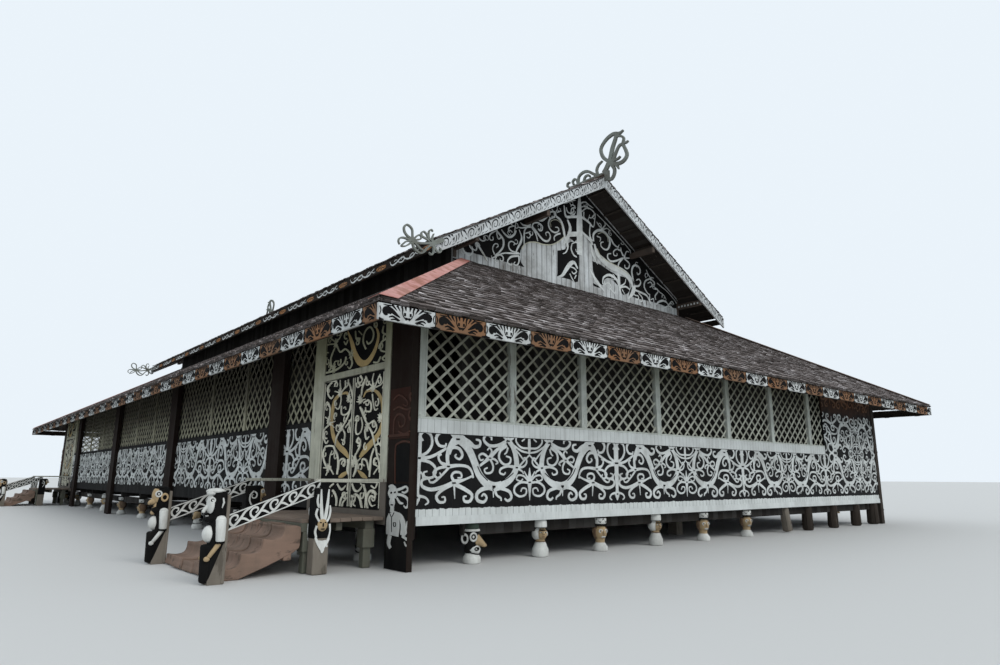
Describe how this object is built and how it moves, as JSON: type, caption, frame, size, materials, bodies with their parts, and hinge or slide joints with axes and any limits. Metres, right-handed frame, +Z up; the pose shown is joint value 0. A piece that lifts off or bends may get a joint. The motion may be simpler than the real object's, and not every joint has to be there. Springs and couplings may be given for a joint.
{
  "type": "timber longhouse on stilts",
  "caption": "Timber longhouse on stilts with painted plank walls, lattice, a hipped skirt roof under a raised gable roof, and porches with carved posts.",
  "frame": {"origin": "on the ground, in the middle of the whole box", "axes": "+Z up, +Y along the house, +X across it, with the entrances on the -X side"},
  "size_m": [22.11, 35.06, 11.6019],
  "materials": {
    "stilt_timber": "weathered round and square timber, bare, matte",
    "floor_timber": "weathered grey-brown planks, matte",
    "log_timber": "bare red-brown logs with cut notches, matte",
    "lattice_paint": "worn cream-green paint on thin slats, matte",
    "wall_paint": "black painted planks with white painted scrolls, worn, matte",
    "pillar_timber": "dark red-brown timber with carved relief, partly painted black and white",
    "door_frame_paint": "worn cream paint over grey-brown timber",
    "door_paint": "black painted boards with white scrolls and ochre spots",
    "shingles": "weathered grey-brown split shingles, matte",
    "ridge_metal": "folded sheet metal, faded red paint with rust, matte",
    "fascia_paint": "alternating white and orange-brown painted panels with scrolls",
    "eave_paint": "dark board with painted white and orange band pattern",
    "inner_timber": "dark aged timber, matte",
    "gable_paint": "vertical boards, silver-white and black with white scrolls",
    "barge_paint": "grey-white paint with a black scroll band",
    "ornament_paint": "carved openwork, weathered green-grey and white paint",
    "carved_paint": "carved posts and boards, black, white and ochre paint"
  },
  "bodies": {
    "house": {"back_clerestory": "inner_timber", "back_fascia": "fascia_paint", "back_frame": "pillar_timber", "back_inner_posts": "inner_timber", "back_lattice": "lattice_paint", "back_main_roof": "shingles", "back_panel": "wall_paint", "back_skirt_roof": "shingles", "back_stilts": "stilt_timber", "back_upper_fascia": "eave_paint", "far_back_corner": "pillar_timber", "far_barge_boards": "barge_paint", "far_door_frame": "door_frame_paint", "far_eave_scroll": "ornament_paint", "far_end_lattice": "lattice_paint", "far_end_panel": "wall_paint", "far_fascia": "fascia_paint", "far_front_corner": "pillar_timber", "far_gable_wall": "gable_paint", "far_inner_balustrade": "carved_paint", "far_outer_balustrade": "carved_paint", "far_porch": "floor_timber", "far_ridge_ornament": "ornament_paint", "far_skirt_roof": "shingles", "far_stair": "log_timber", "far_stilts": "stilt_timber", "floor": "floor_timber", "front_clerestory": "inner_timber", "front_fascia": "fascia_paint", "front_frame": "pillar_timber", "front_inner_posts": "inner_timber", "front_lattice": "lattice_paint", "front_main_roof": "shingles", "front_panel": "wall_paint", "front_skirt_roof": "shingles", "front_stilts": "stilt_timber", "front_upper_fascia": "eave_paint", "middle_stilts": "stilt_timber", "near_back_corner": "pillar_timber", "near_barge_boards": "barge_paint", "near_door_frame": "door_frame_paint", "near_eave_scroll": "ornament_paint", "near_end_lattice": "lattice_paint", "near_end_panel": "wall_paint", "near_fascia": "fascia_paint", "near_front_corner": "pillar_timber", "near_gable_wall": "gable_paint", "near_inner_balustrade": "carved_paint", "near_outer_balustrade": "carved_paint", "near_porch": "floor_timber", "near_ridge_ornament": "ornament_paint", "near_skirt_roof": "shingles", "near_stair": "log_timber", "near_stilts": "stilt_timber", "ridge_cap": "ridge_metal"},
    "near_door_outer_leaf": {"near_door_outer": "door_paint"},
    "near_door_inner_leaf": {"near_door_inner": "door_paint"},
    "far_door_outer_leaf": {"far_door_outer": "door_paint"},
    "far_door_inner_leaf": {"far_door_inner": "door_paint"}
  },
  "joints": [
    {"name": "near_door_outer_swing", "type": "hinge", "parent": "house", "child": "near_door_outer_leaf", "pos_m": [-8.2325, -15.4855, 0.86], "axis": [0, 0, -1], "range_deg": [0, 90]},
    {"name": "near_door_inner_swing", "type": "hinge", "parent": "house", "child": "near_door_inner_leaf", "pos_m": [-8.2325, -13.3545, 0.86], "axis": [0, 0, 1], "range_deg": [0, 90]},
    {"name": "far_door_outer_swing", "type": "hinge", "parent": "house", "child": "far_door_outer_leaf", "pos_m": [-8.2325, 15.4855, 0.86], "axis": [0, 0, 1], "range_deg": [0, 90]},
    {"name": "far_door_inner_swing", "type": "hinge", "parent": "house", "child": "far_door_inner_leaf", "pos_m": [-8.2325, 13.3545, 0.86], "axis": [0, 0, -1], "range_deg": [0, 90]}
  ]
}
